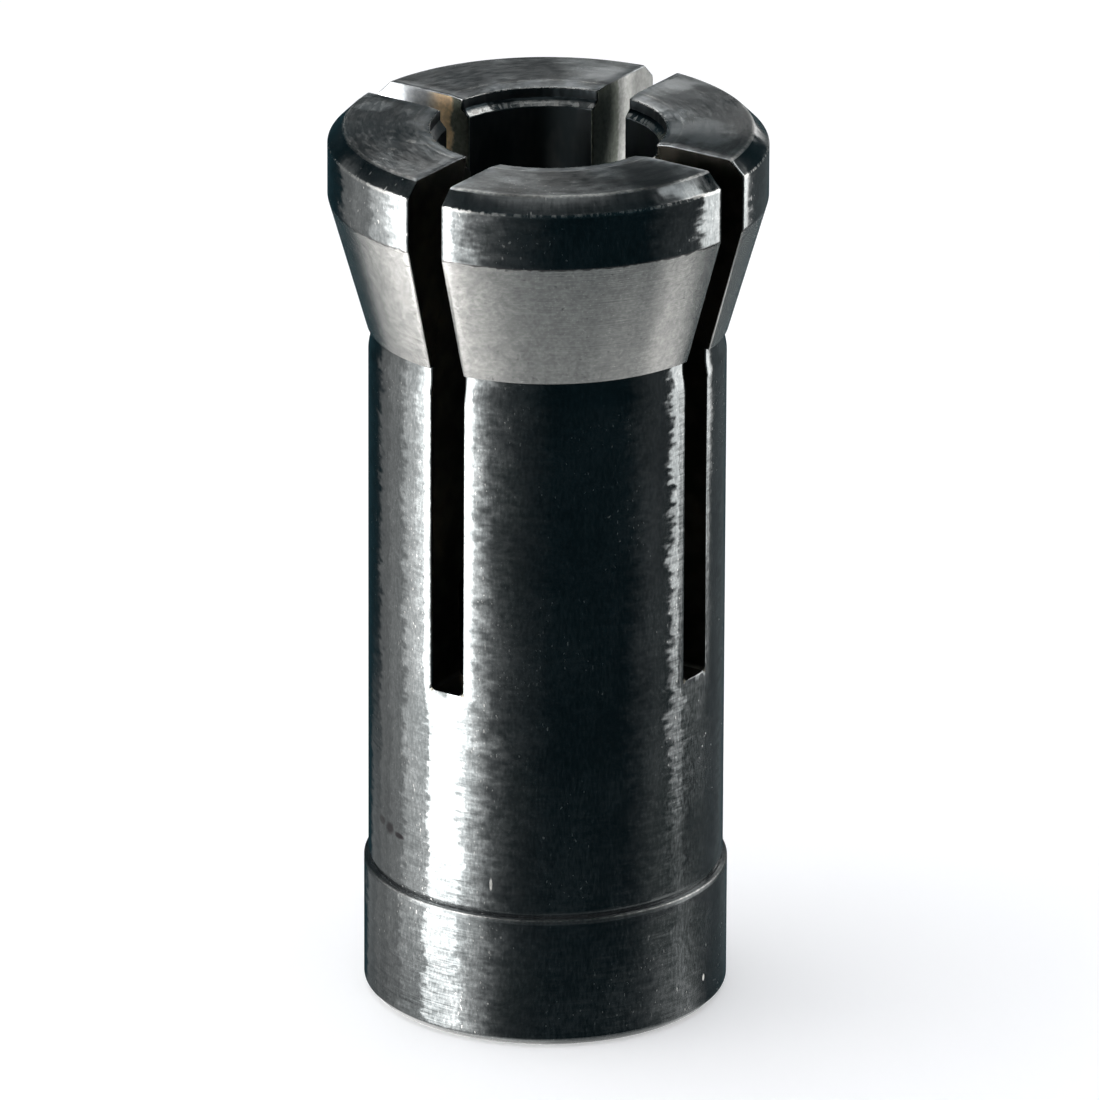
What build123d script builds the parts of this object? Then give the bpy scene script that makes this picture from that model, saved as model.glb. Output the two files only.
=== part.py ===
# Slotted spring collet, turned from one bar, ground on its taper and split by two crossed saw cuts.
# Millimetres. The origin is the centre of the base face, and +Z runs up the axis to the mouth.
# The two saw cuts lie along X and Y and leave four fingers that spring from the ring below them.

import os
from math import radians, tan

from build123d import *

# Bore and wall: the body is the relieved bore with the finger wall round it
shank_diameter = 8.0
relief_step = 0.7
finger_wall = 1.8

# Lengths along the axis
overall_length = 33.3
base_collar_height = 5.0
head_land_length = 2.0
taper_length = 4.92
grip_length = 15.0
slot_floor_height = 13.4

# Base collar: it stands out from the body, above a small undercut
base_collar_step = 0.16
collar_undercut_depth = 0.08
collar_undercut_length = 0.3
collar_edge_break = 0.06
foot_chamfer = 0.3

# Taper: its small end stands out from the body, above a shallow neck that lets the grinding wheel out
taper_half_angle = 16.0
taper_shoulder = 0.064
taper_neck_depth = 0.09
taper_neck_length = 0.5
taper_neck_runout = 0.45
head_chamfer = 0.58

# Mouth, bore steps and base of the bore
mouth_bevel_width = 0.58
mouth_bevel_drop = 0.08
mouth_recess_step = 0.27
mouth_recess_depth = 0.45
bore_step_angle = 45.0
base_bore_chamfer = 0.4

# Saw cuts
slot_width = 1.4
slot_floor_corner_radius = 0.15
slot_edge_break = 0.06

# Radii
shank_radius = shank_diameter / 2
relief_radius = shank_radius + relief_step
recess_radius = shank_radius + mouth_recess_step
bevel_radius = recess_radius + mouth_bevel_width
body_radius = relief_radius + finger_wall
collar_radius = body_radius + base_collar_step
undercut_radius = body_radius - collar_undercut_depth
neck_radius = body_radius - taper_neck_depth
taper_end_radius = body_radius + taper_shoulder
head_radius = taper_end_radius + taper_length * tan(radians(taper_half_angle))

# Heights above the base
head_land_top = overall_length - head_chamfer
taper_top = head_land_top - head_land_length
taper_end = taper_top - taper_length
neck_bottom = taper_end - taper_neck_length
body_top = neck_bottom - taper_neck_runout
undercut_top = base_collar_height + collar_undercut_length
recess_floor = overall_length - mouth_recess_depth
grip_top = recess_floor - mouth_recess_step / tan(radians(bore_step_angle))
grip_bottom = grip_top - grip_length
relief_top = grip_bottom - relief_step / tan(radians(bore_step_angle))


def turned_outside():
    """Outer half-section from the base up: collar, undercut, body, neck, taper, head land, chamfer."""
    return [
        (collar_radius - foot_chamfer, 0),
        (collar_radius, foot_chamfer),
        (collar_radius, base_collar_height - collar_edge_break),
        (collar_radius - collar_edge_break, base_collar_height),
        (undercut_radius, base_collar_height),
        (body_radius, undercut_top),
        (body_radius, body_top),
        (neck_radius, neck_bottom),
        (neck_radius, taper_end),
        (taper_end_radius, taper_end),
        (head_radius, taper_top),
        (head_radius, head_land_top),
        (head_radius - head_chamfer, overall_length),
    ]


def bored_inside():
    """Inner half-section from the mouth down: bevel, recess, lead-in, grip bore, relief, base chamfer."""
    return [
        (bevel_radius, overall_length),
        (recess_radius, overall_length - mouth_bevel_drop),
        (recess_radius, recess_floor),
        (shank_radius, grip_top),
        (shank_radius, grip_bottom),
        (relief_radius, relief_top),
        (relief_radius, base_bore_chamfer),
        (relief_radius + base_bore_chamfer, 0),
    ]


def turned_blank():
    """The collet before it is split: one closed half-section revolved about the axis."""
    with BuildPart() as blank:
        with BuildSketch(Plane.XZ):
            with BuildLine():
                Polyline(*turned_outside(), *bored_inside(), close=True)
            make_face()
        revolve(axis=Axis.Z)
    return blank.part


def saw_cut():
    """One cut across the whole diameter, along X, with a flat floor and small corner radii."""
    cut_height = overall_length - slot_floor_height + head_chamfer
    cut_length = 2 * (head_radius + head_chamfer)
    with BuildPart() as cut:
        with BuildSketch(Plane.YZ.offset(-cut_length / 2)):
            with Locations((0, slot_floor_height + cut_height / 2)):
                section = Rectangle(slot_width, cut_height)
            fillet(section.vertices().sort_by(Axis.Y)[:2], slot_floor_corner_radius)
        extrude(amount=cut_length)
    return cut.part


def is_sawn(face):
    """True for a wall, corner or floor of a saw cut: no turned face is as narrow as the cut."""
    size = face.bounding_box().size
    return min(size.X, size.Y) < slot_width + slot_edge_break


def with_broken_slot_edges(split):
    """The rims of the cuts, where sawn faces meet turned ones, broken inside, outside and on top."""
    sawn_edges = [edge for face in split.faces() if is_sawn(face) for edge in face.edges()]
    rims = [edge for edge in sawn_edges if sum(edge.is_same(other) for other in sawn_edges) == 1]
    return split.chamfer(slot_edge_break, None, rims)


cut_along_x = saw_cut()
cut_along_y = cut_along_x.rotate(Axis.Z, 90)
collet = with_broken_slot_edges(turned_blank() - cut_along_x - cut_along_y)

os.makedirs("parts", exist_ok=True)
export_step(collet, "parts/collet.step")
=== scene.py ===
import random
from math import asin, atan2, cos, degrees, hypot, radians, sin, tan

import bmesh
import bpy
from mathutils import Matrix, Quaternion, Vector


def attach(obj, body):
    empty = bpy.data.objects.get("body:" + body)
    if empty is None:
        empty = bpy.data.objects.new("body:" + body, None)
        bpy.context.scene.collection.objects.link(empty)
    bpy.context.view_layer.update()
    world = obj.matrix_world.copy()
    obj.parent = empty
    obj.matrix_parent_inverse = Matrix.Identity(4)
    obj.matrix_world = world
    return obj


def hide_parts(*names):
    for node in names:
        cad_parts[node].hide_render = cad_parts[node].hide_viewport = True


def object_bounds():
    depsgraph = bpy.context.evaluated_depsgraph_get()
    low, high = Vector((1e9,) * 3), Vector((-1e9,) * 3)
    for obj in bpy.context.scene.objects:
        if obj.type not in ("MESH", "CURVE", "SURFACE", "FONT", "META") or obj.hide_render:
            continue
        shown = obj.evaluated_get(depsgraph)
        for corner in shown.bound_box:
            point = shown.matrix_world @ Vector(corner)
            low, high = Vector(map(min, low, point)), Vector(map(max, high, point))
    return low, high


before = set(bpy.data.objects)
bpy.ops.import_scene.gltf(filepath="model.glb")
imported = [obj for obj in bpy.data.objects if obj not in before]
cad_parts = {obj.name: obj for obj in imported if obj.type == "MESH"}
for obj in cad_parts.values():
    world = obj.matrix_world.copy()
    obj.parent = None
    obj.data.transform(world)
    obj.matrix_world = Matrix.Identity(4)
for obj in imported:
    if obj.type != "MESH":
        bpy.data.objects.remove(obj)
cad_low, cad_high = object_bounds()

# Camera
# It stands well back with a long lens and looks down on the collet by about 21 degrees. Two of
# the saw cuts open towards it, one left of the middle and one near the right edge.
mm = 0.001
view_turn = radians(33.7)
view_rise = radians(21.38)
view_roll = radians(0.234)
view_distance = 572.1 * mm
view_centre = Vector((0, 0, 17 * mm))
aim_sideways = 0.118 * mm
aim_height = 16.861 * mm
sensor_width_in_mm = 36
lens_length_in_mm = 514.1

towards_camera = Vector((sin(view_turn) * cos(view_rise), -cos(view_turn) * cos(view_rise), sin(view_rise)))
camera_place = view_centre + view_distance * towards_camera
camera_target = Vector((aim_sideways * cos(view_turn), aim_sideways * sin(view_turn), aim_height))
camera_data = bpy.data.cameras.new("camera")
camera_data.sensor_width = sensor_width_in_mm
camera_data.lens = lens_length_in_mm
camera = bpy.data.objects.new("camera", camera_data)
camera.location = camera_place
camera.rotation_mode = "QUATERNION"
look = (camera_target - camera_place).to_track_quat("-Z", "Y")
camera.rotation_quaternion = look @ Quaternion((0, 0, 1), view_roll)
bpy.context.scene.collection.objects.link(camera)
bpy.context.scene.camera = camera

# Floor and room
# A plain white floor under the collet, lit softly from all round by a pale room, with one broad
# softbox overhead that gives the collet its shadow.
floor_half = 1.5
floor_paint = (0.82, 0.82, 0.82, 1)
floor_lift = 0.32
room_colour = (0.93, 0.95, 1.0, 1)
room_level = 0.75
softbox_size = 0.5
softbox_power = 1.2
softbox_place = Vector((-0.25, -0.1, 0.6))

floor_bm = bmesh.new()
bmesh.ops.create_grid(floor_bm, x_segments=1, y_segments=1, size=floor_half)
floor_mesh = bpy.data.meshes.new("floor")
floor_bm.to_mesh(floor_mesh)
floor_bm.free()
floor = bpy.data.objects.new("floor", floor_mesh)
bpy.context.scene.collection.objects.link(floor)
floor.visible_glossy = False


def put(tree, kind, settings=None, **sockets):
    """A node in a tree, with its settings, and with each named socket linked or given its value."""
    made = tree.nodes.new("ShaderNode" + kind)
    for name, value in (settings or {}).items():
        setattr(made, name, value)
    for name, value in sockets.items():
        numbered = name[0] == "i" and name[1:].isdigit()
        socket = made.inputs[int(name[1:]) if numbered else name.replace("_", " ")]
        if isinstance(value, bpy.types.NodeSocket):
            tree.links.new(value, socket)
        else:
            socket.default_value = value
    return made


def calc(tree, operation, first, second=0.0, third=0.0):
    """The result of one sum on values or sockets."""
    return put(tree, "Math", {"operation": operation}, i0=first, i1=second, i2=third).outputs[0]


def new_material(name):
    """An empty material: its node tree and its output node."""
    material = bpy.data.materials.new(name)
    material.use_nodes = True
    material.node_tree.nodes.clear()
    return material, material.node_tree, material.node_tree.nodes.new("ShaderNodeOutputMaterial")


def white_floor():
    """Matt white that shows as clean white behind the collet and still takes its shadow."""
    material, tree, output = new_material("white_floor")
    path = tree.nodes.new("ShaderNodeLightPath")
    seen = calc(tree, "MAXIMUM", path.outputs["Is Camera Ray"], path.outputs["Is Glossy Ray"])
    seen = calc(tree, "MAXIMUM", seen, path.outputs["Is Transmission Ray"])
    matt = put(
        tree, "BsdfPrincipled", Base_Color=floor_paint, Roughness=0.9, Emission_Color=(1, 1, 1, 1),
        Emission_Strength=calc(tree, "MULTIPLY", seen, floor_lift),
    )
    tree.links.new(matt.outputs[0], output.inputs["Surface"])
    return material


floor.data.materials.append(white_floor())

room = bpy.data.worlds.new("pale_room")
room.use_nodes = True
room.node_tree.nodes["Background"].inputs["Color"].default_value = room_colour
room.node_tree.nodes["Background"].inputs["Strength"].default_value = room_level
room.cycles_visibility.glossy = False
bpy.context.scene.world = room

softbox_data = bpy.data.lights.new("overhead_softbox", "AREA")
softbox_data.shape = "SQUARE"
softbox_data.size = softbox_size
softbox_data.energy = softbox_power
softbox = bpy.data.objects.new("overhead_softbox", softbox_data)
softbox.location = softbox_place
softbox.rotation_euler = (-softbox_place).to_track_quat("-Z", "Y").to_euler()
softbox.visible_glossy = False
bpy.context.scene.collection.objects.link(softbox)

# Light tent
# Polished steel shows what stands round it, so the collet stands in a tent that only its
# reflections see: dark cloth with lit panels, the brightest at the left and a narrow one at the right.
tent_radius = 80 * mm
dark_cloth = (0.02, 0.048, 0.06, 1)
lit_cloth = (1.0, 0.975, 0.95, 1)

# Turns count from the camera's side, positive to its right, and rises from level. Both are in degrees.
panel_sizes = ("From Turn", "To Turn", "From Rise", "To Rise", "Turn Edge", "Rise Edge", "Level")
panels = (
    # The left window, which fades in steps to both sides and towards the ground
    (-79, -56, -31, 30, 3, 2, 17.0),
    (-57, -50, -14, 30, 3, 4, 3.0),
    (-86, -76, -16, 30, 3, 4, 5.0),
    (-89, -80, -22, 30, 3, 3, 2.5),
    (-101, -80, -34, 30, 7, 3, 2.0),
    (-100, -80, -28, 30, 4, 3, 1.6),
    (-116, -100, -34, 30, 8, 3, 1.1),
    (-130, -115, -34, 30, 8, 3, 0.6),
    (-150, -128, -34, -26, 8, 6, 0.35),
    (-58, -49, -27, 30, 4, 4, 8.0),
    (-58, -49, -34, 30, 4, 3, 2.0),
    (-50, -43, -26, 30, 5, 4, 3.2),
    (-50, -37, -34, 30, 8, 3, 1.2),
    (-70, -34, -34, 30, 30, 3, 0.9),
    (-70, -22, -34, 30, 60, 3, 0.3),
    # The narrow right window, with a faint glow on both sides of it
    (84, 95, -24, 62, 3, 2, 0.7),
    (84, 95, -21, 62, 3, 9, 6.0),
    (94, 114, -18.5, 30, 3, 4, 3.0),
    (96, 122, -14, 30, 3, 3, 4.0),
    (60, 82, -33, 30, 24, 4, 0.18),
    (112, 160, -33, 15, 20, 4, 0.12),
    # Two small lamps behind, for the edges inside the mouth
    (151, 165, 15, 25, 8, 8, 5.0),
    (-181, -167, 39, 49, 8, 8, 8.0),
    # The roof of the tent, and what the top faces show behind the collet
    (-180, 180, 72, 90, 1, 4, 1.3),
    (-180, 180, 60, 90, 1, 20, 0.12),
    (150, 210, 15, 60, 30, 10, 0.05),
    # The pale table, which the taper shows because it faces down
    (-180, -40, -90, -41, 70, 3, 1.2),
    (75, 112, -42, -33.2, 24, 3, 1.5),
    (44, 90, -48, -38, 40, 3, 0.45),
    # A lamp high at the right, for the ring inside the mouth
    (98, 125, 50, 60, 8, 6, 3.0),
    # The table all round
    (-180, 180, -90, -41, 1, 2, 0.55),
)

tent_bm = bmesh.new()
bmesh.ops.create_uvsphere(tent_bm, u_segments=64, v_segments=32, radius=tent_radius)
bmesh.ops.reverse_faces(tent_bm, faces=tent_bm.faces)
bmesh.ops.translate(tent_bm, verts=tent_bm.verts, vec=view_centre)
for face in tent_bm.faces:
    face.smooth = True
tent_mesh = bpy.data.meshes.new("light_tent")
tent_bm.to_mesh(tent_mesh)
tent_bm.free()
tent = bpy.data.objects.new("light_tent", tent_mesh)
bpy.context.scene.collection.objects.link(tent)
tent.visible_camera = False
tent.visible_diffuse = False
tent.visible_shadow = False
tent.visible_transmission = False


def span(tree, value, low, high, to_low=0.0, to_high=1.0):
    """A value eased from one range to another, and held at both ends."""
    made = put(
        tree, "MapRange", {"interpolation_type": "SMOOTHSTEP"}, Value=value, From_Min=low, From_Max=high,
        To_Min=to_low, To_Max=to_high,
    )
    return made.outputs[0]


def vector_calc(tree, operation, first, second=(0, 0, 0)):
    """The result of one sum on vectors."""
    return put(tree, "VectorMath", {"operation": operation}, i0=first, i1=second).outputs[0]


def object_place(tree):
    """Where a point lies on its piece, and the same point's three parts."""
    place = tree.nodes.new("ShaderNodeTexCoord").outputs["Object"]
    return place, put(tree, "SeparateXYZ", Vector=place).outputs


def new_group(name, values=(), vectors=(), result="", kind="Float"):
    """An empty node group with named inputs and one output: its tree, its inputs and its output."""
    group = bpy.data.node_groups.new(name, "ShaderNodeTree")
    for wanted in values:
        group.interface.new_socket(wanted, in_out="INPUT", socket_type="NodeSocketFloat")
    for wanted in vectors:
        group.interface.new_socket(wanted, in_out="INPUT", socket_type="NodeSocketVector")
    group.interface.new_socket(result, in_out="OUTPUT", socket_type="NodeSocket" + kind)
    given = group.nodes.new("NodeGroupInput").outputs
    return group, given, group.nodes.new("NodeGroupOutput").inputs[result]


def lit_panel():
    """One lit panel on the tent: a patch of turn and rise, with its soft edges centred on its sides."""
    group, given, result = new_group("lit_panel", ("Turn", "Rise") + panel_sizes, result="Light")
    light = given["Level"]
    for way in ("Turn", "Rise"):
        both = calc(group, "ADD", given["From " + way], given["To " + way])
        wide = calc(group, "SUBTRACT", given["To " + way], given["From " + way])
        away = calc(group, "SUBTRACT", given[way], calc(group, "MULTIPLY", both, 0.5))
        away = calc(group, "ABSOLUTE", calc(group, "WRAP", away, 180.0, -180.0))
        away = calc(group, "SUBTRACT", away, calc(group, "MULTIPLY", wide, 0.5))
        edge = calc(group, "MULTIPLY", given[way + " Edge"], 0.5)
        inside = span(group, away, calc(group, "MULTIPLY", edge, -1.0), edge, 1.0, 0.0)
        light = calc(group, "MULTIPLY", light, inside)
    group.links.new(light, result)
    return group


def tent_cloth():
    """Dark cloth with its lit panels, seen from the tent's middle by turn and rise."""
    material, tree, output = new_material("tent_cloth")
    place, _ = object_place(tree)
    place = vector_calc(tree, "SUBTRACT", place, view_centre)
    part = put(tree, "SeparateXYZ", Vector=place).outputs
    turn = calc(tree, "ARCTAN2", part["X"], calc(tree, "MULTIPLY", part["Y"], -1.0))
    turn = calc(tree, "SUBTRACT", calc(tree, "MULTIPLY", turn, degrees(1)), degrees(view_turn))
    rise = calc(tree, "ARCSINE", calc(tree, "DIVIDE", part["Z"], tent_radius))
    rise = calc(tree, "MULTIPLY", rise, degrees(1))
    light = 0.0
    group = lit_panel()
    for sizes in panels:
        panel = put(tree, "Group", {"node_tree": group}, Turn=turn, Rise=rise)
        for name, size in zip(panel_sizes, sizes):
            panel.inputs[name].default_value = size
        light = calc(tree, "ADD", light, panel.outputs["Light"])
    cloth = put(tree, "Emission", Color=dark_cloth, Strength=1.0)
    lit = put(tree, "Emission", Color=lit_cloth, Strength=light)
    both = put(tree, "AddShader", i0=cloth.outputs[0], i1=lit.outputs[0])
    tree.links.new(both.outputs[0], output.inputs["Surface"])
    material.cycles.emission_sampling = "NONE"
    return material


tent.data.materials.append(tent_cloth())

# Collet
# One turned steel bar: bored through, ground on its taper and split by two crossed saw cuts into
# four fingers. The fingers are one piece with the ring at the base, so it is one mesh.
shank_radius = 4.0 * mm
relief_radius = 4.7 * mm
recess_radius = 4.27 * mm
bevel_radius = 4.85 * mm
body_radius = 6.5 * mm
collar_radius = 6.66 * mm
undercut_radius = 6.42 * mm
neck_radius = 6.41 * mm
taper_end_radius = 6.564 * mm
taper_half_angle = radians(16)

overall_length = cad_high.z - cad_low.z
collar_height = 5.0 * mm
undercut_length = 0.3 * mm
neck_runout = 0.45 * mm
neck_length = 0.5 * mm
taper_length = 4.92 * mm
head_land_length = 2.0 * mm
head_chamfer = 0.58 * mm
foot_chamfer = 0.3 * mm
mouth_bevel_drop = 0.08 * mm
recess_depth = 0.45 * mm
grip_length = 15.0 * mm
base_bore_chamfer = 0.4 * mm

slot_floor = 13.4 * mm
slot_width = 1.4 * mm
slot_corner_radius = 0.2 * mm
slot_rim_break = 0.055 * mm

taper_end_break = 0.02 * mm
bore_break = 0.03 * mm
mouth_break = 0.04 * mm
edge_break = 0.05 * mm
handled_break = 0.06 * mm
neck_round = 0.1 * mm

head_radius = taper_end_radius + taper_length * tan(taper_half_angle)
head_land_top = overall_length - head_chamfer
taper_top = head_land_top - head_land_length
taper_end = taper_top - taper_length
neck_bottom = taper_end - neck_length
body_top = neck_bottom - neck_runout
undercut_top = collar_height + undercut_length
recess_top = overall_length - mouth_bevel_drop
recess_floor = overall_length - recess_depth
grip_top = recess_floor - (recess_radius - shank_radius)
grip_bottom = grip_top - grip_length
relief_top = grip_bottom - (relief_radius - shank_radius)

# Each corner of the half-section: its radius, its height and how much its edge is broken
half_section = (
    (collar_radius - foot_chamfer, 0, edge_break),
    (collar_radius, foot_chamfer, edge_break),
    (collar_radius, collar_height, handled_break),
    (undercut_radius, collar_height, 0),
    (body_radius, undercut_top, 0),
    (body_radius, slot_floor, 0),
    (body_radius, body_top, neck_round),
    (neck_radius, neck_bottom, 0),
    (neck_radius, taper_end, 0),
    (taper_end_radius, taper_end, taper_end_break),
    (head_radius, taper_top, edge_break),
    (head_radius, head_land_top, handled_break),
    (head_radius - head_chamfer, overall_length, handled_break),
    (bevel_radius, overall_length, mouth_break),
    (recess_radius, recess_top, bore_break),
    (recess_radius, recess_floor, 0),
    (shank_radius, grip_top, bore_break),
    (shank_radius, grip_bottom, bore_break),
    (relief_radius, relief_top, 0),
    (relief_radius, slot_floor, 0),
    (relief_radius, base_bore_chamfer, bore_break),
    (relief_radius + base_bore_chamfer, 0, bore_break),
)

columns = 256
columns_a_quarter = columns // 4
columns_in_half_slot = 2
tiny = 0.001 * mm

bm = bmesh.new()
corners = [bm.verts.new((radius, 0, height)) for radius, height, _ in half_section]
bm.faces.new(corners)
for size in sorted({row[2] for row in half_section if row[2]}):
    broken = [vert for vert, row in zip(corners, half_section) if row[2] == size]
    bmesh.ops.bevel(
        bm, geom=broken, offset=size, segments=3, profile=0.5, affect="VERTICES", material=-1,
    )
bmesh.ops.delete(bm, geom=list(bm.faces), context="FACES_ONLY")
bmesh.ops.spin(
    bm, geom=list(bm.verts) + list(bm.edges), cent=(0, 0, 0), axis=(0, 0, 1), dvec=(0, 0, 0),
    angle=radians(360), steps=columns, use_merge=True,
)


def column_of(point):
    """The number of the column that a point of the spun mesh lies on, counted round from X."""
    return round(atan2(point.y, point.x) / radians(360) * columns) % columns


def spread_columns(point):
    """Turns a point so that the columns beside each saw cut's middle fill just that cut."""
    radius = hypot(point.x, point.y)
    quarter, step = divmod(column_of(point), columns_a_quarter)
    half_slot = degrees(asin(slot_width / 2 / radius))
    finger_columns = columns_a_quarter - 2 * columns_in_half_slot
    if step < columns_in_half_slot:
        turn = half_slot * step / columns_in_half_slot
    elif step > columns_a_quarter - columns_in_half_slot:
        turn = 90 - half_slot * (columns_a_quarter - step) / columns_in_half_slot
    else:
        turn = half_slot + (90 - 2 * half_slot) * (step - columns_in_half_slot) / finger_columns
    whole = radians(90 * quarter + turn)
    return Vector((radius * cos(whole), radius * sin(whole), point.z))


for vert in bm.verts:
    vert.co = spread_columns(vert.co)

# The short recess in the mouth was bored with a chattering tool, which left it slightly notched in
# about two columns out of three.
random.seed(7)
notch_depth = 0.014 * mm
notch_spacing = 1.5
notches = {
    round(column * notch_spacing): random.uniform(-notch_depth, notch_depth) for column in range(columns)
}
for vert in bm.verts:
    radius = hypot(vert.co.x, vert.co.y)
    in_recess = recess_floor - tiny < vert.co.z < recess_top + bore_break
    beside_cut = min(abs(vert.co.x), abs(vert.co.y)) < slot_width / 2 + tiny
    near_wall = abs(radius - recess_radius) < 1.5 * bore_break
    if in_recess and near_wall and not beside_cut:
        stretch = 1 + notches.get(column_of(vert.co), 0) / radius
        vert.co.x *= stretch
        vert.co.y *= stretch


def in_cut(face):
    """True for a face of the turned form that the saw takes away."""
    middle = face.calc_center_median()
    return middle.z > slot_floor and min(abs(middle.x), abs(middle.y)) < slot_width / 2 - tiny


def bounds_wall(edge, across, along, side, end):
    """True for an open edge that bounds one wall of a saw cut."""
    return edge.is_boundary and all(
        abs(vert.co[across] - side * slot_width / 2) < tiny and vert.co[along] * end > 0
        for vert in edge.verts
    )


def bounds_floor(edge, across, along, end):
    """True for an open edge that bounds one floor of a saw cut."""
    return edge.is_boundary and all(
        abs(vert.co.z - slot_floor) < tiny
        and vert.co[along] * end > slot_width
        and abs(vert.co[across]) < slot_width
        for vert in edge.verts
    )


bmesh.ops.delete(bm, geom=[face for face in bm.faces if in_cut(face)], context="FACES")

# Each cut has a wall on both sides of each end, with an edge along its foot, and a floor at each end.
# A cut is given by the axis across it and the axis along it, where X is 0 and Y is 1.
both_cuts = ((0, 1), (1, 0))
walls = []
for across, along in both_cuts:
    for side in (-1, 1):
        for end in (-1, 1):
            wall = [edge for edge in bm.edges if bounds_wall(edge, across, along, side, end)]
            feet = [vert for edge in wall for vert in edge.verts if abs(vert.co.z - slot_floor) < tiny]
            walls.append((wall, bm.edges.new(feet)))
foot_edges = [foot_edge for _, foot_edge in walls]
sawn_faces = []
for wall, foot_edge in walls:
    sawn_faces += bmesh.ops.contextual_create(bm, geom=wall + [foot_edge])["faces"]
for across, along in both_cuts:
    for end in (-1, 1):
        loop = [edge for edge in bm.edges if bounds_floor(edge, across, along, end)]
        sawn_faces += bmesh.ops.contextual_create(bm, geom=loop)["faces"]

# The finishes, in the order in which the collet takes its materials below
oxide, ground, sawn, painted_walls, shaded_inside = range(5)
for face in sawn_faces:
    face.material_index = sawn
bmesh.ops.bevel(
    bm, geom=foot_edges, offset=slot_corner_radius, segments=4, profile=0.5, affect="EDGES", material=-1,
)
rims = [
    edge for edge in bm.edges
    if sorted(face.material_index for face in edge.link_faces) == [oxide, sawn]
]
broken = bmesh.ops.bevel(
    bm, geom=rims, offset=slot_rim_break, segments=2, profile=0.5, affect="EDGES", material=-1,
)
for face in broken["faces"]:
    middle = face.calc_center_median()
    inside = hypot(middle.x, middle.y) < relief_radius + slot_rim_break and middle.z < grip_top
    face.material_index = sawn if inside else oxide

# The bore, the upright wall of the recess and the whole of the left finger's recess take a darker material,
# which is painted shade.
# The back finger's walls are the ones painted with light and shade.
upright_limit = 0.1
for face in bm.faces:
    middle = face.calc_center_median()
    radius = hypot(middle.x, middle.y)
    on_taper = taper_end < middle.z < taper_top and radius > body_radius
    in_bore = radius < shank_radius + bore_break and middle.z < grip_top
    in_recess = radius < recess_radius + bore_break and middle.z > grip_top
    on_left_finger = middle.x < 0 and middle.y < 0
    on_back_finger = middle.x < 0 < middle.y
    in_painted_shade = in_bore or (in_recess and (on_left_finger or abs(face.normal.z) < upright_limit))
    if face.material_index == oxide and on_taper:
        face.material_index = ground
    if face.material_index == oxide and in_painted_shade:
        face.material_index = shaded_inside
    if face.material_index == sawn and on_back_finger:
        face.material_index = painted_walls
    face.smooth = True
bmesh.ops.recalc_face_normals(bm, faces=bm.faces)
sharp_angle = radians(32)
for edge in bm.edges:
    edge.smooth = edge.calc_face_angle(0) < sharp_angle

turned_mesh = bpy.data.meshes.new("turned_collet")
bm.to_mesh(turned_mesh)
bm.free()
collet = bpy.data.objects.new("slotted_collet", turned_mesh)
bpy.context.scene.collection.objects.link(collet)
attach(collet, "root")
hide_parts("collet")

# The large turned and sawn faces shade as true cones and planes, and only the broken edges roll over.
even = collet.modifiers.new("even_shading", "WEIGHTED_NORMAL")
even.keep_sharp = True
evaluated = collet.evaluated_get(bpy.context.evaluated_depsgraph_get())
evenly_shaded = bpy.data.meshes.new_from_object(evaluated)
collet.modifiers.remove(even)
collet.data = evenly_shaded
bpy.data.meshes.remove(turned_mesh)
evenly_shaded.name = "slotted_collet"


def scaled(tree, vector, by):
    """A vector or a colour made longer or brighter by a value."""
    return put(tree, "VectorMath", {"operation": "SCALE"}, i0=vector, Scale=by).outputs[0]


def length(tree, vector):
    """How long a vector is."""
    return put(tree, "VectorMath", {"operation": "LENGTH"}, i0=vector).outputs["Value"]


def from_axis(tree, part):
    """The level line from the collet's axis to a point."""
    return put(tree, "CombineXYZ", X=part["X"], Y=part["Y"], Z=0.0).outputs[0]


def distance(tree, sideways, upwards):
    """How far away a point is, from its distances sideways and upwards."""
    return length(tree, put(tree, "CombineXYZ", X=sideways, Y=upwards, Z=0.0).outputs[0])


def noise(tree, place, scale, detail, roughness=0.5):
    """Clouds from 0 to 1; the scale is how many lie along a metre."""
    made = put(tree, "TexNoise", Vector=place, Scale=scale, Detail=detail, Roughness=roughness)
    return made.outputs[0]


def off_middle(tree, value, share):
    """A value from 0 to 1 as a swing either way about 0, over a share."""
    return calc(tree, "MULTIPLY", calc(tree, "SUBTRACT", value, 0.5), share)


def lathe_marks():
    """Noise laid out as a lathe leaves it: some waves round the axis, and rows along the profile.

    The rows go by height, and also by radius, so that a level face has them as rings.
    """
    group, given, result = new_group(
        "lathe_marks", ("Round", "Rows", "Detail", "Shift"), result="Marks",
    )
    _, part = object_place(group)
    across = from_axis(group, part)
    turned = scaled(group, vector_calc(group, "NORMALIZE", across), given["Round"])
    rings_to_rows = 1.7
    along = calc(group, "MULTIPLY_ADD", length(group, across), rings_to_rows, part["Z"])
    rows = calc(group, "MULTIPLY_ADD", along, given["Rows"], given["Shift"])
    lifted = put(group, "CombineXYZ", X=0.0, Y=0.0, Z=rows).outputs[0]
    where = vector_calc(group, "ADD", turned, lifted)
    group.links.new(noise(group, where, scale=1, detail=given["Detail"], roughness=0.55), result)
    return group


def worn_ring():
    """A soft ring of wear along one turned edge, given by the edge's radius and height."""
    group, given, result = new_group(
        "worn_ring", ("Edge Radius", "Edge Height", "Width"), result="Wear",
    )
    _, part = object_place(group)
    out = calc(group, "SUBTRACT", length(group, from_axis(group, part)), given["Edge Radius"])
    up = calc(group, "SUBTRACT", part["Z"], given["Edge Height"])
    away = distance(group, out, up)
    group.links.new(span(group, away, 0.0, given["Width"], 1.0, 0.0), result)
    return group


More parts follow.
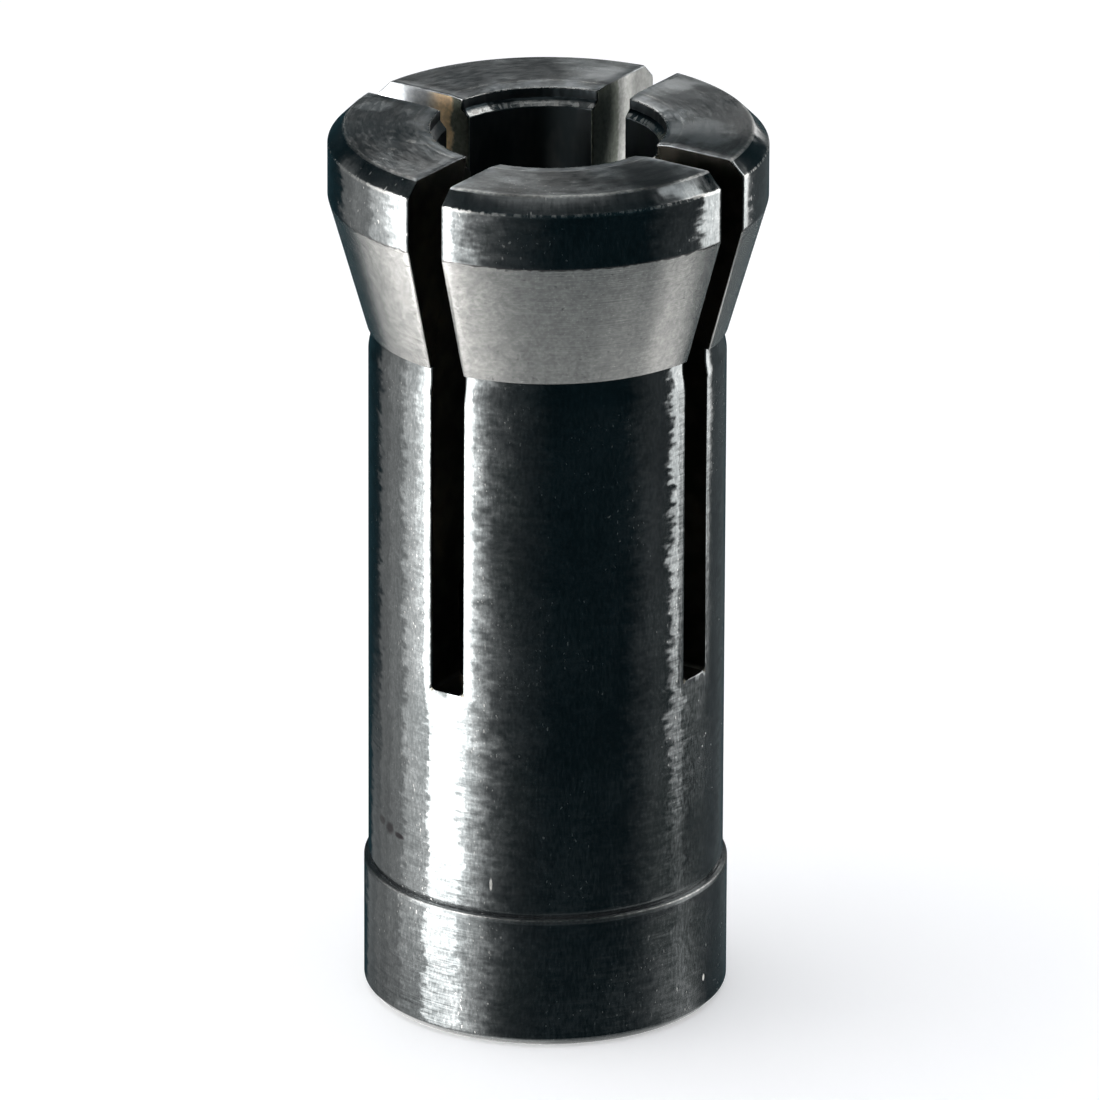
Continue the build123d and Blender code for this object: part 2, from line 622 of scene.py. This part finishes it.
def sideways_tilt():
    """Turns a normal to one side or the other round the axis, as chatter or a rolled edge does."""
    group, given, result = new_group("sideways_tilt", ("Tilt",), ("Normal",), "Normal", "Vector")
    place, _ = object_place(group)
    sideways = vector_calc(group, "CROSS_PRODUCT", (0, 0, 1), place)
    sideways = vector_calc(group, "NORMALIZE", sideways)
    settings = {"vector_type": "NORMAL", "convert_from": "OBJECT", "convert_to": "WORLD"}
    sideways = put(group, "VectorTransform", settings, Vector=sideways).outputs[0]
    leaning = vector_calc(group, "ADD", given["Normal"], scaled(group, sideways, given["Tilt"]))
    group.links.new(vector_calc(group, "NORMALIZE", leaning), result)
    return group


def small_mark():
    """One small ragged spot or scratch on the surface, with its place and its size each way."""
    group, given, result = new_group("small_mark", (), ("Place", "Size"), "Mark")
    place, _ = object_place(group)
    away = vector_calc(group, "SUBTRACT", place, given["Place"])
    away = vector_calc(group, "DIVIDE", away, given["Size"])
    ragged = put(group, "TexNoise", Vector=place, Scale=1500.0, Detail=3.0).outputs[1]
    ragged = scaled(group, vector_calc(group, "SUBTRACT", ragged, (0.5, 0.5, 0.5)), 0.6)
    away = length(group, vector_calc(group, "ADD", away, ragged))
    group.links.new(span(group, away, 0.25, 0.6, 1.0, 0.0), result)
    return group


def slot_roll():
    """Slope of the saw cuts' edges, rolled over by brushing: signed, and nothing away from them."""
    group, given, result = new_group("slot_roll", ("Width", "Slope"), result="Tilt")
    place, part = object_place(group)
    x, y = part["X"], part["Y"]
    nearest = calc(group, "MINIMUM", calc(group, "ABSOLUTE", x), calc(group, "ABSOLUTE", y))
    beside = calc(group, "MAXIMUM", calc(group, "SUBTRACT", nearest, slot_width / 2), 0.0)
    below = calc(group, "MAXIMUM", calc(group, "SUBTRACT", slot_floor, part["Z"]), 0.0)
    ragged = off_middle(group, noise(group, place, scale=2600, detail=2), 0.25 * mm)
    away = calc(group, "ADD", distance(group, beside, below), ragged)
    rolled = span(group, away, 0.0, given["Width"], given["Slope"], 0.0)
    squares = calc(group, "SUBTRACT", calc(group, "MULTIPLY", y, y), calc(group, "MULTIPLY", x, x))
    side = calc(group, "SIGN", calc(group, "MULTIPLY", calc(group, "MULTIPLY", x, y), squares))
    group.links.new(calc(group, "MULTIPLY", rolled, side), result)
    return group


lathe_marks_group = lathe_marks()
worn_ring_group = worn_ring()
sideways_tilt_group = sideways_tilt()
small_mark_group = small_mark()
slot_roll_group = slot_roll()


def marks(tree, turns, rows_a_mm, detail=2.0, shift=0.0):
    """Lathe marks by their waves round the axis and rows to a millimetre; a shift gives fresh ones."""
    made = put(
        tree, "Group", {"node_tree": lathe_marks_group}, Round=turns, Rows=rows_a_mm / mm, Detail=detail,
        Shift=shift,
    )
    return made.outputs["Marks"]


def worn_edges(tree, edges):
    """The wear of several turned edges together, each given as radius, height and width."""
    wear = 0.0
    for radius, height, width in edges:
        ring = put(
            tree, "Group", {"node_tree": worn_ring_group}, Edge_Radius=radius, Edge_Height=height,
            Width=width,
        )
        wear = calc(tree, "MAXIMUM", wear, ring.outputs["Wear"])
    return wear


def tilted(tree, normal, tilt):
    """A normal turned sideways by a slope."""
    made = put(tree, "Group", {"node_tree": sideways_tilt_group}, Normal=normal, Tilt=tilt)
    return made.outputs["Normal"]


def slot_rolled(tree, width, slope):
    """The tilt of the rolled edges of the saw cuts, as wide and as steep at the edge as given."""
    return put(tree, "Group", {"node_tree": slot_roll_group}, Width=width, Slope=slope).outputs["Tilt"]


def small_marks(tree, places):
    """Small marks together, each by its turn from the camera, radius, height, and size each way."""
    mark = 0.0
    for turn, radius, height, wide, high in places:
        bearing = view_turn + radians(turn)
        spot = (radius * mm * sin(bearing), -radius * mm * cos(bearing), height * mm)
        size = (wide * mm, wide * mm, high * mm)
        made = put(tree, "Group", {"node_tree": small_mark_group}, Place=spot, Size=size)
        mark = calc(tree, "MAXIMUM", mark, made.outputs["Mark"])
    return mark


def face_marks(tree, places):
    """Round marks on the top faces, each by its turn from the camera, radius and width."""
    top = overall_length / mm
    return small_marks(tree, [(turn, radius, top, wide, wide) for turn, radius, wide in places])


def blend(tree, share, first, second):
    """A colour between two colours or sockets."""
    return put(tree, "Mix", {"data_type": "RGBA"}, i0=share, i6=first, i7=second).outputs[2]


def grained(tree, colour, place, scale, spread):
    """A colour with a fine grain, so much lighter and darker."""
    grain = span(tree, noise(tree, place, scale, detail=1), 0.3, 0.7, 1.0 - spread, 1.0 + spread)
    return scaled(tree, colour, grain)


def turned_metal(tree, output, colour, roughness, normal, anisotropic, metallic=1.0):
    """Steel whose fine marks run round the axis, so that its highlights spread along the profile."""
    grain = put(tree, "Tangent", {"direction_type": "RADIAL", "axis": "Z"}).outputs[0]
    metal = put(
        tree, "BsdfPrincipled", Base_Color=colour, Roughness=roughness, Metallic=metallic, Normal=normal,
        Tangent=grain, Anisotropic=anisotropic, Anisotropic_Rotation=0.25,
    )
    tree.links.new(metal.outputs[0], output.inputs["Surface"])


def plain_metal(tree, output, colour, roughness, normal):
    """Steel with no direction to its marks."""
    metal = put(
        tree, "BsdfPrincipled", Base_Color=colour, Roughness=roughness, Metallic=1.0, Normal=normal,
    )
    tree.links.new(metal.outputs[0], output.inputs["Surface"])


def oxide_wear(tree, cloudy):
    """Where the oxide is worn to bare steel: edges, dots round the mouth, flecks and nicks."""
    head_edge = 0.13 * mm
    edges = worn_edges(tree, (
        (head_radius - head_chamfer, overall_length, head_edge),
        (head_radius, head_land_top, head_edge),
        (bevel_radius, overall_length, 0.08 * mm),
        (collar_radius, collar_height, 0.07 * mm),
        (collar_radius - foot_chamfer, 0, 0.16 * mm),
    ))
    patchy = span(tree, marks(tree, turns=45, rows_a_mm=9, detail=2, shift=20), 0.4, 0.62, 0.35, 1.0)
    edges = calc(tree, "MULTIPLY", edges, patchy)
    lead_in = 0.1 * mm
    mouth = worn_edges(tree, (
        (recess_radius, recess_top, 0.12 * mm),
        (shank_radius + lead_in, grip_top + lead_in, 0.22 * mm),
    ))
    dotted = span(tree, marks(tree, turns=24, rows_a_mm=1, detail=1, shift=25), 0.45, 0.6, 0.3, 1.0)
    worn = calc(tree, "MAXIMUM", edges, calc(tree, "MULTIPLY", mouth, dotted))
    flecks = span(tree, marks(tree, turns=90, rows_a_mm=6, detail=0, shift=40), 0.75, 0.83)
    flecks = calc(tree, "MULTIPLY", flecks, span(tree, cloudy, 0.45, 0.6, 0.1, 0.6))
    worn = calc(tree, "MAXIMUM", calc(tree, "MULTIPLY", worn, 0.8), flecks)
    top = overall_length / mm
    nicks = small_marks(tree, (
        # turn, radius, height, how wide, how high
        (60.3, 6.66, 1.4, 0.16, 0.3),
        (-16.9, 6.6, 0.6, 0.08, 0.8),
        (0.4, 6.6, 0.7, 0.07, 0.7),
        (-17.8, 6.5, 6.2, 0.12, 0.5),
        (-83.3, 5.64, top, 0.28, 0.3),
        (-65.5, 6.15, top, 0.32, 0.3),
        (-70.5, 5.2, top, 0.4, 0.3),
    ))
    return calc(tree, "MAXIMUM", worn, nicks)


def face_highlight_mask(tree, place, part, radius, faced):
    """Where the top faces are painted lighter as a painted highlight, in smudges beside the cuts and round
    the mouth.
    """
    x, y = part["X"], part["Y"]
    aside = calc(tree, "MINIMUM", calc(tree, "ABSOLUTE", x), calc(tree, "ABSOLUTE", y))
    smudge = off_middle(tree, noise(tree, place, scale=900, detail=5, roughness=0.6), 2.0 * mm)
    aside = calc(tree, "ADD", aside, smudge)
    inwards = calc(tree, "ADD", radius, smudge)
    by_cut = span(tree, aside, 0.65 * mm, 1.25 * mm, 1.0, 0.0)
    by_mouth = span(tree, inwards, bevel_radius - 0.5 * mm, bevel_radius + 0.3 * mm, 1.0, 0.0)
    return calc(tree, "MULTIPLY", calc(tree, "MAXIMUM", by_cut, by_mouth), faced)


def black_oxide():
    """Steel blacked in a hot salt bath and given oil: near-black, glossy, showing its turning marks."""
    oxide_dark = (0.074, 0.081, 0.0835, 1)
    oxide_light = (0.12, 0.128, 0.131, 1)
    # The next three colours are painted light and shade for the top faces: a dim painted highlight, a
    # bright painted highlight and painted shade
    painted_highlight_dim = (0.21, 0.225, 0.235, 1)
    painted_highlight_bright = (0.3, 0.315, 0.325, 1)
    painted_shade_black = (0.03, 0.035, 0.038, 1)
    oil_stain = (0.012, 0.01, 0.012, 1)
    # Painted shade for the ring at the bottom of the recess
    painted_ring_shade = (0.012, 0.016, 0.018, 1)
    bare_steel = (0.4, 0.4, 0.39, 1)

    material, tree, output = new_material("black_oxide")
    place, part = object_place(tree)
    height = part["Z"]
    radius = length(tree, from_axis(tree, part))
    cloudy = marks(tree, turns=3, rows_a_mm=0.25, detail=3)
    streaky = marks(tree, turns=70, rows_a_mm=3.5, detail=2, shift=10)
    tone = calc(tree, "MULTIPLY", calc(tree, "ADD", streaky, cloudy), 0.5)
    tone = span(tree, tone, 0.38, 0.66)
    colour = blend(tree, tone, oxide_dark, oxide_light)
    colour = grained(tree, colour, place, scale=9000, spread=0.1)
    worn = oxide_wear(tree, cloudy)
    colour = blend(tree, worn, colour, bare_steel)

    # The top faces, with painted highlights beside the cuts and round the mouth, faint swirls from facing,
    # and patches of painted shade and painted highlight
    faced = span(tree, height, overall_length - 0.1 * mm, overall_length - 0.03 * mm)
    painted_face_highlight = face_highlight_mask(tree, place, part, radius, faced)
    colour = blend(tree, painted_face_highlight, colour, painted_highlight_dim)
    swirls = span(tree, marks(tree, turns=3, rows_a_mm=1.4, detail=2, shift=55), 0.4, 0.6, 0.8, 1.2)
    patches = span(tree, noise(tree, place, scale=420, detail=4, roughness=0.6), 0.4, 0.6, 0.6, 1.4)
    swirls = calc(tree, "SUBTRACT", calc(tree, "MULTIPLY", swirls, patches), 1.0)
    colour = scaled(tree, colour, calc(tree, "MULTIPLY_ADD", swirls, faced, 1.0))
    stains = small_marks(tree, (
        # turn, radius, height, how wide, how high
        (-60.9, 6.5, 7.15, 0.7, 0.5),
        (-66.5, 6.5, 7.3, 0.5, 0.35),
        (-55.0, 6.5, 7.1, 0.6, 0.25),
    ))
    colour = blend(tree, stains, colour, oil_stain)
    # Patches of painted shade on the top faces, dark where no lamp is reflected
    painted_shade_patches = face_marks(tree, (
        # turn, radius, how wide
        (-86, 5.9, 3.4),
        (121, 5.6, 1.8),
        (112, 6.0, 1.9),
        (102, 6.2, 1.7),
        (93, 6.7, 1.6),
        (36, 6.5, 3.0),
        (-173, 6.4, 3.2),
        (-152, 6.3, 3.2),
    ))
    colour = blend(tree, calc(tree, "MULTIPLY", painted_shade_patches, 0.7), colour, painted_shade_black)
    # Patches of painted highlight on the top faces, where the lamps' reflections fan out
    painted_highlight_patches = face_marks(tree, (
        # turn, radius, how wide
        (86, 5.5, 2.2),
        (78, 5.9, 2.0),
        (134, 6.4, 1.6),
        (160, 5.9, 1.8),
        (-108, 6.6, 1.4),
    ))
    colour = blend(tree, calc(tree, "MULTIPLY", painted_highlight_patches, 0.6), colour, painted_highlight_bright)

    # The ring at the bottom of the recess, darkened as painted shade
    ring_shade = span(tree, height, recess_floor - 0.15 * mm, recess_floor - 0.05 * mm)
    below_mouth = span(tree, height, recess_floor + 0.2 * mm, recess_floor + 0.25 * mm, 1.0, 0.0)
    in_mouth = span(tree, radius, bevel_radius, bevel_radius + tiny, 1.0, 0.0)
    ring_shade = calc(tree, "MULTIPLY", calc(tree, "MULTIPLY", ring_shade, in_mouth), below_mouth)
    colour = blend(tree, ring_shade, colour, painted_ring_shade)

    # Glossy where the oxide is whole, rougher where it is faced or worn, under the painted highlight of the
    # top faces, and at the collar's step
    roughness = calc(tree, "MULTIPLY_ADD", tone, 0.05, 0.15)
    roughness = calc(tree, "MULTIPLY_ADD", faced, 0.15, roughness)
    roughness = calc(tree, "MULTIPLY_ADD", painted_face_highlight, 0.1, roughness)
    roughness = calc(tree, "MAXIMUM", roughness, calc(tree, "MULTIPLY", worn, 0.6))
    rings = calc(tree, "MULTIPLY", faced, marks(tree, turns=1.2, rows_a_mm=2, detail=2, shift=35))
    roughness = calc(tree, "MULTIPLY_ADD", rings, 0.12, roughness)
    step = worn_edges(tree, ((collar_radius, collar_height, 0.35 * mm),))
    roughness = calc(tree, "MAXIMUM", roughness, calc(tree, "MULTIPLY", step, 0.5))

    # Fine turning lines, a slower ripple, and chatter that tilts the steel from side to side
    fine = marks(tree, turns=2, rows_a_mm=11, detail=1, shift=30)
    lines = put(tree, "Bump", Strength=1.0, Distance=0.003 * mm, Height=fine).outputs[0]
    ripple = marks(tree, turns=7, rows_a_mm=2.6, detail=1, shift=45)
    normal = put(tree, "Bump", Strength=1.0, Distance=0.012 * mm, Height=ripple, Normal=lines).outputs[0]
    teeth = off_middle(tree, marks(tree, turns=13, rows_a_mm=4.2, detail=1.5, shift=5), 0.17)
    swells = off_middle(tree, marks(tree, turns=5, rows_a_mm=0.8, detail=1, shift=15), 0.09)
    chatter = calc(tree, "ADD", teeth, swells)
    tilt = calc(tree, "ADD", chatter, slot_rolled(tree, width=0.5 * mm, slope=0.17))
    normal = tilted(tree, normal, tilt)

    # Dust sits in the undercut above the collar
    dusty = worn_edges(tree, ((undercut_radius, collar_height, 0.22 * mm),))
    metallic = calc(tree, "MULTIPLY_ADD", dusty, -0.3, 1.0)
    turned_metal(tree, output, colour, roughness, normal, anisotropic=0.9, metallic=metallic)
    return material


def ground_steel():
    """Bare steel where the taper is ground after blacking: satin, faintly clouded, with dark pits."""
    steel_dark = (0.335, 0.335, 0.33, 1)
    steel_light = (0.4, 0.4, 0.39, 1)
    unground_dark = (0.1, 0.1, 0.1, 1)

    material, tree, output = new_material("ground_steel")
    place, part = object_place(tree)
    cloudy = marks(tree, turns=14, rows_a_mm=1.6, detail=4, shift=50)
    colour = blend(tree, span(tree, cloudy, 0.3, 0.7), steel_dark, steel_light)
    colour = grained(tree, colour, place, scale=7000, spread=0.08)
    ragged = off_middle(tree, marks(tree, turns=22, rows_a_mm=1, detail=3), 0.25 * mm)
    edge = calc(tree, "ADD", part["Z"], ragged)
    unground = span(tree, edge, taper_top - 0.1 * mm, taper_top - 0.05 * mm)
    pits = span(tree, marks(tree, turns=40, rows_a_mm=5, detail=1, shift=70), 0.72, 0.78)
    dark = calc(tree, "MAXIMUM", unground, calc(tree, "MULTIPLY", pits, 0.6))
    colour = blend(tree, dark, colour, unground_dark)
    fine = marks(tree, turns=3, rows_a_mm=14, detail=2, shift=60)
    normal = put(tree, "Bump", Strength=1.0, Distance=0.002 * mm, Height=fine).outputs[0]
    normal = tilted(tree, normal, slot_rolled(tree, width=0.4 * mm, slope=0.12))
    turned_metal(tree, output, colour, roughness=0.22, normal=normal, anisotropic=0.3)
    return material


def sawn_surface(tree, place):
    """The fine uneven surface that the saw leaves."""
    bumpy = noise(tree, place, scale=5000, detail=2)
    return put(tree, "Bump", Strength=1.0, Distance=0.004 * mm, Height=bumpy).outputs[0]


def sawn_steel():
    """The walls and floors of the saw cuts: dark, and matt from the blade."""
    sawn_dark = (0.08, 0.08, 0.07, 1)
    sawn_light = (0.14, 0.13, 0.11, 1)

    material, tree, output = new_material("sawn_steel")
    place, _ = object_place(tree)
    cloudy = span(tree, noise(tree, place, scale=900, detail=3), 0.35, 0.65)
    colour = blend(tree, cloudy, sawn_dark, sawn_light)
    plain_metal(tree, output, colour, roughness=0.28, normal=sawn_surface(tree, place))
    return material


def lit_and_shaded_walls():
    """Sawn walls in painted light and shade: olive painted shade beside the bore, then a painted lit band,
    then grey outside.

    The band is tan on the finger's left wall, and pale and farther out on its right wall.
    """
    olive = (0.19, 0.21, 0.18, 1)
    left_lit_band = (0.95, 0.72, 0.46, 1)
    right_lit_band = (0.33, 0.34, 0.33, 1)
    left_grey = (0.31, 0.33, 0.35, 1)
    right_grey = (0.09, 0.093, 0.091, 1)
    band_start, band_full = 4.65 * mm, 4.8 * mm
    grey_start, grey_full = 5.1 * mm, 5.9 * mm
    right_shift = 0.95 * mm

    material, tree, output = new_material("lit_and_shaded_walls")
    place, part = object_place(tree)
    ragged = off_middle(tree, noise(tree, place, scale=1500, detail=4), 0.5 * mm)
    radius = calc(tree, "ADD", length(tree, from_axis(tree, part)), ragged)
    right = span(tree, part["X"], -3.0 * mm, -1.5 * mm)
    reach = calc(tree, "MULTIPLY_ADD", right, -right_shift, radius)
    band = blend(tree, right, left_lit_band, right_lit_band)
    grey = blend(tree, right, left_grey, right_grey)
    colour = blend(tree, span(tree, reach, band_start, band_full), olive, band)
    colour = blend(tree, span(tree, reach, grey_start, grey_full), colour, grey)
    speckled = span(tree, noise(tree, place, scale=6000, detail=2), 0.35, 0.65, 0.75, 1.0)
    colour = scaled(tree, colour, speckled)
    plain_metal(tree, output, colour, roughness=0.36, normal=sawn_surface(tree, place))
    return material


def painted_shade_bore():
    """The reamed bore: black and slightly rough, with fine rings and no wear; its darker colour is painted
    shade.
    """
    bore_shade_dark = (0.025, 0.032, 0.036, 1)
    bore_shade_light = (0.045, 0.052, 0.056, 1)

    material, tree, output = new_material("painted_shade_bore")
    cloudy = span(tree, marks(tree, turns=4, rows_a_mm=0.4, detail=3, shift=80), 0.35, 0.65)
    colour = blend(tree, cloudy, bore_shade_dark, bore_shade_light)
    fine = marks(tree, turns=2, rows_a_mm=9, detail=1, shift=90)
    normal = put(tree, "Bump", Strength=1.0, Distance=0.003 * mm, Height=fine).outputs[0]
    plain_metal(tree, output, colour, roughness=0.38, normal=normal)
    return material


for finish in (black_oxide, ground_steel, sawn_steel, lit_and_shaded_walls, painted_shade_bore):
    collet.data.materials.append(finish())

bpy.context.scene.view_settings.view_transform = "Standard"
